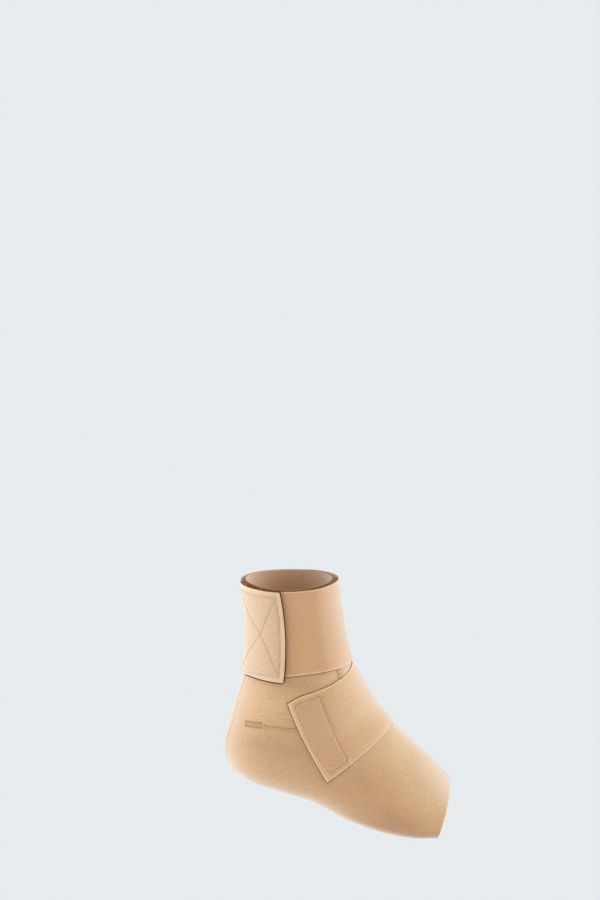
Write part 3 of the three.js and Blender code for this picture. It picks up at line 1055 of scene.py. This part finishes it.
def on_flap(place, angle):
    """How much the front flap raises a layer over it, from 0 beside the flap to 1 on it."""
    outer_start, inner_start = FLAP_OUTER_EDGE + FLAP_LEAD, FLAP_INNER_EDGE - FLAP_LEAD
    bottom_start = FLAP_BOTTOM + FLAP_BOTTOM_LEAD
    outer_ramp = 1 - smoothstep(angle, outer_start, outer_start + FLAP_RAMP)
    inner_ramp = smoothstep(angle, inner_start - FLAP_RAMP, inner_start)
    bottom_ramp = 1 - smoothstep(place, bottom_start, bottom_start + FLAP_BOTTOM_RAMP)
    return outer_ramp * inner_ramp * bottom_ramp


def strap_spot(u, v):
    return on_strap(u, lerp(STRAP_SEWN_END, strap_ends(u)[0], v))


def across_strap(place, angle):
    """The share of the strap's width where a point lies, less than 0 above the strap and over 1 below it."""
    upper, lower = strap_edges(angle)
    return (place - upper) / (lower - upper)


def box_chart(across, angle):
    """A point of the strap on a flat chart of its box of stitches, from the box's middle."""
    free_end, hook_line = strap_ends(across)
    middle, half = (free_end + hook_line - BOX_INSET_ARC) / 2, (free_end - hook_line - BOX_INSET_ARC) / 2
    return (angle - middle) / half * BOX_HALF_LENGTH, (across - 0.5) / (0.5 - BOX_INSET) * BOX_HALF_HEIGHT


def off_box(across, angle):
    """How far a point of the strap lies from the line of the box, less than 0 inside it."""
    x, y = box_chart(across, angle)
    x, y = np.abs(x) - BOX_HALF_LENGTH + BOX_CORNER, np.abs(y) - BOX_HALF_HEIGHT + BOX_CORNER
    return np.hypot(np.maximum(x, 0), np.maximum(y, 0)) + np.minimum(np.maximum(x, y), 0) - BOX_CORNER


def box_groove(across, angle):
    """The groove of the box: a wide, deep crease at the hook line, and faint along the free end."""
    x, y = box_chart(across, angle)
    crease = 1 - smoothstep(BOX_HALF_LENGTH + x, *BOX_CREASE_FADE)
    faint = 1 - smoothstep(BOX_HALF_LENGTH - x, *BOX_FAINT_FADE)
    half_width = lerp(BOX_HALF_WIDTH, BOX_CREASE_HALF_WIDTH, crease)
    depth = lerp(BOX_DEPTH, BOX_CREASE_DEPTH, crease) * (1 - BOX_FAINT * faint)
    return depth * np.exp(-(off_box(across, angle) / half_width) ** 2)


def strap_lifts(place, angle):
    across = across_strap(place, angle)
    free_end, hook_line = strap_ends(across)
    from_sides = np.minimum(across, 1 - across) * STRAP_WIDTH
    from_edge = np.minimum(from_sides, (free_end - angle) * STRAP_DEGREE)
    on_hook = smoothstep(angle, hook_line - HOOK_RAMP, hook_line + HOOK_RAMP_END)
    on_hook = on_hook * (1 - HOOK_SAG * (1 - smoothstep(from_edge, *HOOK_SAG_EDGE)))
    rise = np.maximum(FLAP_RISE * on_flap(place, angle), HOOK_RISE * on_hook)
    taper = smoothstep(from_edge, 0, STRAP_EDGE_TAPER)
    wall, gap = lerp(STRAP_EDGE_WALL, STRAP_WALL, taper), lerp(STRAP_EDGE_GAP, LAYER_GAP, taper)
    return gap + rise, wall, box_groove(across, angle)


def strap_stands(place, angle):
    """How clearly the strap's edge stands off the boot, less and less towards the front, from 1 to 0."""
    front = np.where(across_strap(place, angle) > 0.5, STRAP_LOWER_FRONT, STRAP_UPPER_FRONT)
    return smoothstep(angle, front, front + STRAP_FRONT_FADE)


def strap_lip(place, angle):
    return lerp(STRAP_LIP_FRONT, STRAP_LIP, strap_stands(place, angle))


def off_strap(place, angle):
    """How far a point of the boot lies outside the strap, and further where the strap's edge lies flat."""
    across = across_strap(place, angle)
    past_side = np.maximum(-across, across - 1) * STRAP_WIDTH
    past_end = np.maximum(angle - strap_ends(across)[0], STRAP_SEWN_END - angle) * STRAP_DEGREE
    flat = STRAP_FLAT_OFF * (1 - strap_stands(place, angle))
    return np.hypot(np.maximum(past_side, 0), np.maximum(past_end, 0)) + flat


def off_hook_box(place, angle):
    """How far a point of the strap lies outside its box of stitches, and further off beside the free end."""
    across = across_strap(place, angle)
    sharp = np.where(box_chart(across, angle)[0] < 0, 1, HOOK_BOX_SHADE_SHARP)
    return np.maximum(off_box(across, angle), 0) * sharp


def shade_beside(lower, away, reach, depth):
    """Paints shade on the outer face of a cloth, deeper the nearer its points lie to what shades it."""
    mesh = lower.data
    place, angle, inside, shade = (read_mark(mesh, label) for label in ("place", "angle", "inside", "shade"))
    added = depth * np.exp(-away(place, angle) / reach) * (1 - inside)
    write_mark(mesh, "shade", np.maximum(shade, added))


strap_backing_and_shadow = cut_material("strap backing and painted shadow", STRAP_BACKING_AND_SHADOW)
strap_cloth = cloth_material(
    "strap cloth", STRAP_FACE, STRAP_EDGE_AND_HIGHLIGHT, STRAP_BORDER, STRAP_RELIEF, knit_on_map(STRAP_PITCH),
)
strap = cloth_piece(
    "strap", strap_cloth, strap_spot, strap_lifts,
    shares(STRAP_WIDTH, STRAP_WIDTH_STEP), shares(STRAP_LENGTH, STRAP_LENGTH_STEP),
    lip=strap_lip, cuts=dict.fromkeys(("top", "bottom", "start", "end"), strap_backing_and_shadow),
)
shade_beside(boot, off_strap, STRAP_SHADE_REACH, STRAP_SHADE)
shade_beside(flap, off_strap, STRAP_SHADE_REACH, STRAP_SHADE)
shade_beside(strap, off_hook_box, HOOK_BOX_SHADE_REACH, HOOK_BOX_SHADE)
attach(strap, "root")
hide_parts("instep_strap")

# The strap's thread: one row round the box that holds the hook strip, pale at the hook line and along
# the free end, and two rows where the strap is sewn on. Along the box's top and bottom the same thread is
# darker, a painted shade of the stitches there.
# The thread along the box's top and bottom, darkened with painted shade, and the pale thread
STRAP_SHADED_THREAD = paint(112, 72, 40)
STRAP_PALE_THREAD = paint(172, 128, 84)
STRAP_STITCH = 1.8
STRAP_STITCH_PITCH = 2.7
STRAP_PROUD = 0.06
SEWN_ROWS = [2.5, 6]
SEWN_INSET = 0.04
# The box's points: on each corner, with a small turn that keeps them off the corners' ends, and on each
# of its sides
BOX_CORNER_POINTS = 10
BOX_TURN = 0.01
BOX_STEPS = 120


def box_sides():
    """The place and angle of points along the box's bottom, hook line, top and free end, in this order.

    The bottom and the top hold the round corners at their two ends.
    """
    pair = 2 * BOX_CORNER_POINTS
    turn = np.linspace(0, 2 * np.pi, 2 * pair, endpoint=False) + BOX_TURN
    x = np.sign(np.cos(turn)) * (BOX_HALF_LENGTH - BOX_CORNER) + BOX_CORNER * np.cos(turn)
    y = np.sign(np.sin(turn)) * (BOX_HALF_HEIGHT - BOX_CORNER) + BOX_CORNER * np.sin(turn)
    x, y = np.append(x, x[0]), np.append(y, y[0])
    far = np.append(0, np.cumsum(np.hypot(np.diff(x), np.diff(y))))
    for first, last in [(0, pair - 1), (pair - 1, pair), (pair, 2 * pair - 1), (2 * pair - 1, 2 * pair)]:
        even = np.linspace(far[first], far[last], BOX_STEPS)
        across = 0.5 + np.interp(even, far, y) / BOX_HALF_HEIGHT * (0.5 - BOX_INSET)
        free_end, hook_line = strap_ends(across)
        half = (free_end - hook_line - BOX_INSET_ARC) / 2
        yield on_strap(across, hook_line + half * (1 + np.interp(even, far, x) / BOX_HALF_LENGTH))


def strap_row(line):
    return stitch_row(strap_lifts, line, STRAP_PROUD, STRAP_STITCH_PITCH, STRAP_STITCH)


box_bottom, box_hook_line, box_top, box_free_end = (strap_row(side) for side in box_sides())
sewn_across = np.linspace(SEWN_INSET, 1 - SEWN_INSET, BOX_STEPS)
sewn_rows = [
    strap_row(on_strap(sewn_across, np.full(BOX_STEPS, STRAP_SEWN_END + inset))) for inset in SEWN_ROWS
]
shaded_strap_yarn = thread_material("strap thread", STRAP_SHADED_THREAD)
pale_yarn = thread_material("pale strap thread", STRAP_PALE_THREAD)
strap_thread = sewn("strap_thread", [box_bottom, box_top], shaded_strap_yarn)
strap_end_thread = sewn("strap_end_thread", [box_hook_line, box_free_end, *sewn_rows], pale_yarn)
for piece in (strap_thread, strap_end_thread):
    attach(piece, "root")

# The ankle band: a plain band of the strap's laminated knit, wrapped once round the ankle.
# Its two ends meet at a slit under the tab.
BAND_WALL = 1.4
BAND_BOTTOM = 3.0
BAND_SLIT = 126
BAND_SLIT_WIDTH = 4
BAND_HEIGHT = 75
BAND_LENGTH = 238
BAND_STEP = 1.4
BAND_FACE = paint(180, 131, 78)
# Its lower edge lies flat at the front, up to the first of these angles, and stands off from the second on
BAND_STANDS = (25, 80)
# The backing stands out past the lower edge by so much, as a dark line of painted shadow, and painted shadow
# darkens the boot below it: how deep, how far it reaches, and how much further off it counts where the edge
# lies flat
BAND_LIP = 0.5
BAND_LIP_FRONT = 0.1
BAND_SHADE = 0.45
BAND_SHADE_REACH = 2.2
BAND_FLAT_OFF = 3
# The height of one section below the band
BAND_SECTION = 24
# A point within this place of an edge is on it
AT_EDGE = 0.01


def wrapped(angle):
    return np.mod(angle + 180, 360) - 180


def band_spot(u, v):
    turned = lerp(BAND_SLIT + BAND_SLIT_WIDTH / 2, BAND_SLIT - BAND_SLIT_WIDTH / 2 + 360, v)
    angle = wrapped(turned)
    return lerp(rim_at(angle), BAND_BOTTOM, u), angle


def band_lifts(place, angle):
    return LAYER_GAP + FLAP_RISE * on_flap(place, angle), BAND_WALL, 0


def band_stands(angle):
    """How clearly the band's lower edge stands off the boot, from 0 at the front to 1 at the sides."""
    return smoothstep(np.abs(angle), *BAND_STANDS)


def band_lip(place, angle):
    """The backing stands out at the band's lower edge, as a dark line of painted shadow."""
    return lerp(BAND_LIP_FRONT, BAND_LIP, band_stands(angle)) * (place > BAND_BOTTOM - AT_EDGE)


def off_band(place, angle):
    """How far a point of the boot lies below the band, and further where the band's lower edge lies flat."""
    return np.maximum(place - BAND_BOTTOM, 0) * BAND_SECTION + BAND_FLAT_OFF * (1 - band_stands(angle))


band_cloth = cloth_material(
    "band cloth", BAND_FACE, CUT_EDGE_AND_HIGHLIGHT, BORDER, STRAP_RELIEF, knit_on_map(STRAP_PITCH),
)
band = cloth_piece(
    "band", band_cloth, band_spot, band_lifts,
    shares(BAND_HEIGHT, BAND_STEP), shares(BAND_LENGTH, BAND_STEP),
    lip=band_lip, cuts={"rim": DARK_BACKING_AND_SHADOW, "bottom": DARK_BACKING_AND_SHADOW, "top": CUT_FOAM},
)
shade_beside(boot, off_band, BAND_SHADE_REACH, BAND_SHADE)
shade_beside(flap, off_band, BAND_SHADE_REACH, BAND_SHADE)
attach(band, "root")
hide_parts("ankle_band")

# The hook patch: dark brown hook tape sewn under the ankle tab, which it grips to the band.
# It is cut a hair larger than the tab's free end and lower edge, so that it shows as a dark line along the
# tab's edge, partly the dark tape and partly a painted shadow of the tab.
PATCH_WIDTH = 36
PATCH_HEIGHT = 76
PATCH_COLOUR = paint(84, 52, 26)
PATCH_SHOWS = 0.8
PATCH_SHOWS_BELOW = 0.03
ON_BAND = LAYER_GAP + BAND_WALL + LAYER_GAP
# The tab's free edge, by its angles at the top and at the bottom, and its bow, which is fullest above half
# height, and its sewn edge, with the angle where its hook patch ends
TAB_FREE_TOP = 101
TAB_FREE_BOTTOM = 102
TAB_EDGE_BOW = 2.8
TAB_EDGE_SKEW = 0.75
TAB_SEWN_EDGE = 168
TAB_HOOK_END = 148
# The places of the tab's lower corners, and how far its lower edge is hollowed between them
TAB_BOTTOM_SEWN = 2.87
TAB_BOTTOM_FREE = 3.25
TAB_BOTTOM_BOW = 0.06


def tab_free_edge(u):
    """The free edge bows a little towards the front, most above half height."""
    bow = TAB_EDGE_BOW * np.sin(np.pi * np.clip(u, 0, 1) ** TAB_EDGE_SKEW)
    return lerp(TAB_FREE_TOP, TAB_FREE_BOTTOM, u) - bow


def tab_bottom(angle):
    """The tab's lower edge falls towards its free corner, and is hollowed a little between its ends."""
    share = np.clip((angle - TAB_SEWN_EDGE) / (TAB_FREE_BOTTOM - TAB_SEWN_EDGE), 0, 1)
    return lerp(TAB_BOTTOM_SEWN, TAB_BOTTOM_FREE, share) - TAB_BOTTOM_BOW * np.sin(np.pi * share)


def patch_spot(u, v):
    angle = lerp(tab_free_edge(u) - PATCH_SHOWS, TAB_HOOK_END, v)
    return lerp(rim_at(angle), tab_bottom(angle) + PATCH_SHOWS_BELOW, u), angle


def patch_lifts(place, angle):
    return ON_BAND, HOOK_WALL, 0


patch = cloth_piece(
    "hook_patch", hook_material("dark hook tape", PATCH_COLOUR), patch_spot, patch_lifts,
    shares(PATCH_HEIGHT, HOOK_STEP), shares(PATCH_WIDTH, HOOK_STEP),
)
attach(patch, "root")
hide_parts("ankle_hook_patch")

# The ankle tab: a pale brushed tab that closes the band, sewn on at its back edge.
# Its hook patch is held by a box of stitches with a cross in it, which quilts the tab.
TAB_WALL = 1.4
TAB_WIDTH = 50
TAB_HEIGHT = 76
TAB_STEP = 0.55
TAB_PITCH = 1.2
TAB_RELIEF = 0.07
TAB_FACE = paint(186, 151, 111)
# Its pale border, partly the cut edge's colour and partly a painted highlight on the raised border inside
# its edge, and that border's width
TAB_EDGE_AND_HIGHLIGHT = paint(198, 165, 126)
TAB_BORDER = 3
# The backing stands out at the lower edge as a dark line of painted shadow, and less and less between these
# angles; painted shadow darkens the band and the boot beside the tab
TAB_LIP = 1.0
TAB_LIP_FADE = (140, 158)
TAB_SHADE = 0.8
TAB_SHADE_REACH = 2
# One degree round the ankle and one section down it, in millimetres on the tab
TAB_DEGREE = 0.74
TAB_SECTION = 24.5
# The box and its cross: the side along the free edge, then each line from one angle and place to another
TAB_BOX_FREE_SIDE = [(105, 0.36), (103.2, 1.05), (104.2, 1.83), (106, 2.93)]
TAB_BOX_SEWN_SIDE = [(163, 0.27), (163, 2.83)]
TAB_CROSS = (127.5, 1.68)
TAB_CORNERS = [TAB_BOX_FREE_SIDE[0], TAB_BOX_FREE_SIDE[-1], *TAB_BOX_SEWN_SIDE]
TAB_BOX = [
    *zip(TAB_BOX_FREE_SIDE, TAB_BOX_FREE_SIDE[1:]),
    TAB_BOX_SEWN_SIDE,
    *zip(TAB_CORNERS[:2], TAB_CORNERS[2:]),
    *[(corner, TAB_CROSS) for corner in TAB_CORNERS],
]
# The stitches' groove, the quilting inside the box, between two places, and the welt along its free side,
# which press the face in and darken it with painted shade
TAB_GROOVE = 0.17
TAB_GROOVE_HALF_WIDTH = 0.7
TAB_QUILT = 0.18
TAB_QUILT_REACH = 2.4
TAB_QUILT_PLACES = (0.31, 2.89)
TAB_WELT = 0.05
TAB_WELT_HALF_WIDTH = 1.3


def tab_chart(place, angle):
    """A point of the tab on a flat chart of it."""
    return np.stack([np.asarray(angle) * TAB_DEGREE, np.asarray(place) * TAB_SECTION], axis=-1)


def tab_spot(u, v):
    angle = lerp(tab_free_edge(u), TAB_SEWN_EDGE, v)
    return lerp(rim_at(angle), tab_bottom(angle), u), angle


def tab_lifts(place, angle):
    points = tab_chart(place, angle)
    away = np.min([
        from_line(points, tab_chart(from_place, from_angle), tab_chart(to_place, to_angle))
        for (from_angle, from_place), (to_angle, to_place) in TAB_BOX
    ], axis=0)
    from_free_side = (angle - np.interp(place, *np.transpose(TAB_BOX_FREE_SIDE)[::-1])) * TAB_DEGREE
    quilt_top, quilt_bottom = TAB_QUILT_PLACES
    in_box = (from_free_side > 0) & (place > quilt_top) & (place < quilt_bottom)
    groove = TAB_GROOVE * np.exp(-(away / TAB_GROOVE_HALF_WIDTH) ** 2)
    quilt = TAB_QUILT * np.exp(-away / TAB_QUILT_REACH) * in_box
    welt = TAB_WELT * np.exp(-(from_free_side / TAB_WELT_HALF_WIDTH) ** 2)
    on_hook = 1 - smoothstep(angle, TAB_HOOK_END, TAB_SEWN_EDGE)
    return ON_BAND + HOOK_RISE * on_hook, TAB_WALL, groove + quilt + welt


def off_tab(place, angle):
    """How far a point under the tab lies outside it."""
    past_front = (tab_free_edge(place / TAB_BOTTOM_FREE) - angle) * TAB_DEGREE
    past_back = (angle - TAB_SEWN_EDGE) * TAB_DEGREE
    past_bottom = (place - tab_bottom(angle)) * TAB_SECTION
    return np.hypot(np.maximum(np.maximum(past_front, past_back), 0), np.maximum(past_bottom, 0))


def tab_lip(place, angle):
    """The backing stands out at the tab's lower edge as a dark line of painted shadow, and less towards its
    sewn edge.
    """
    return TAB_LIP * (place > tab_bottom(angle) - AT_EDGE) * (1 - smoothstep(angle, *TAB_LIP_FADE))


tab_cloth = cloth_material("tab cloth", TAB_FACE, TAB_EDGE_AND_HIGHLIGHT, TAB_BORDER, TAB_RELIEF, knit_on_map(TAB_PITCH))
tab = cloth_piece(
    "tab", tab_cloth, tab_spot, tab_lifts,
    shares(TAB_HEIGHT, TAB_STEP), shares(TAB_WIDTH, TAB_STEP),
    lip=tab_lip, cuts={"rim": DARK_BACKING_AND_SHADOW, "bottom": DARK_BACKING_AND_SHADOW, "start": DARK_BACKING_AND_SHADOW, "top": CUT_FOAM},
)
shade_beside(band, off_tab, TAB_SHADE_REACH, TAB_SHADE)
shade_beside(boot, off_tab, TAB_SHADE_REACH, TAB_SHADE)
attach(tab, "root")
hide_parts("ankle_tab")

# The tab's thread: pale sewing thread along the lines of the box and of its cross.
# It holds the hook patch to the tab's back.
TAB_THREAD = paint(196, 160, 122)
TAB_STITCH = 2.0
TAB_STITCH_PITCH = 2.7
TAB_PROUD = 0.08
TAB_LINE_STEPS = 80

tab_rows = []
for (from_angle, from_place), (to_angle, to_place) in TAB_BOX:
    way = np.linspace(0, 1, TAB_LINE_STEPS)
    line = (lerp(from_place, to_place, way), lerp(from_angle, to_angle, way))
    tab_rows.append(stitch_row(tab_lifts, line, TAB_PROUD, TAB_STITCH_PITCH, TAB_STITCH))
tab_thread = sewn("tab_thread", tab_rows, thread_material("tab thread", TAB_THREAD))
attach(tab_thread, "root")

# The studio: a pale floor some way below the boot, which is shown held up as when it is worn, soft light
# from both sides, from the front and from below, and a long lens on the outer side, a little above it.
# Its sizes are metres.
FLOOR_SIZE = 60
FLOOR_DROP = 0.4
FLOOR_FINISH = {"Base Color": paint(218, 221, 223), "Roughness": 1.0, "Specular IOR Level": 0.0}
SKY_COLOUR = paint(250, 252, 255)
SKY_STRENGTH = 0.49
# Suns: the way each comes from in degrees (azimuth from the camera's side, to its right, and height) and
# its strength, with the width of their discs in degrees
SUNS = [
    (-95, 22, 1.65),
    (95, 19, 3.2),
    (0, 25, 1.0),
    (-75, -25, 1.8),
    (-20, -25, 0.5),
]
SUN_WIDTH = 60
CAMERA_DISTANCE = 3.0
CAMERA_HEIGHT = 14  # degrees
MM_PER_PIXEL = 0.81
PHOTO_SIZE = (600, 900)
ORIGIN_PIXEL = (293, 700)
SENSOR = 36  # millimetres

floor_mesh = bpy.data.meshes.new("floor")
half, low = FLOOR_SIZE / 2, cad_box[0].z - FLOOR_DROP
floor_mesh.from_pydata(
    [(-half, -half, low), (half, -half, low), (half, half, low), (-half, half, low)], [], [(0, 1, 2, 3)],
)
floor_mesh.materials.append(new_material("floor paper", FLOOR_FINISH)[0])
floor = placed("floor", floor_mesh)
floor.visible_shadow = False
floor.visible_diffuse = False
floor.visible_glossy = False

world = bpy.data.worlds.new("studio")
world.use_nodes = True
sky = world.node_tree.nodes["Background"]
sky.inputs["Color"].default_value = SKY_COLOUR
sky.inputs["Strength"].default_value = SKY_STRENGTH
bpy.context.scene.world = world
for number, (azimuth, height, strength) in enumerate(SUNS):
    light = bpy.data.lights.new(f"sun_{number}", "SUN")
    light.energy = strength
    light.angle = math.radians(SUN_WIDTH)
    lamp = placed(light.name, light)
    lamp.rotation_euler = (math.radians(90 - height), 0, math.radians(azimuth))
bpy.context.scene.view_settings.view_transform = "Standard"

focal = CAMERA_DISTANCE / (MM_PER_PIXEL * MM)  # pixels
right, down = (ORIGIN_PIXEL[k] - PHOTO_SIZE[k] / 2 for k in range(2))
camera = placed("camera", bpy.data.cameras.new("camera"))
camera.data.sensor_width = SENSOR
camera.data.lens = focal * SENSOR / PHOTO_SIZE[1]
camera.data.clip_end = 2 * FLOOR_SIZE
elevation = math.radians(CAMERA_HEIGHT)
camera.location = (0, -CAMERA_DISTANCE * math.cos(elevation), CAMERA_DISTANCE * math.sin(elevation))
tilt = elevation - math.atan(down / focal)
camera.rotation_euler = (math.pi / 2 - tilt, 0, math.atan(right / focal))
bpy.context.scene.camera = camera
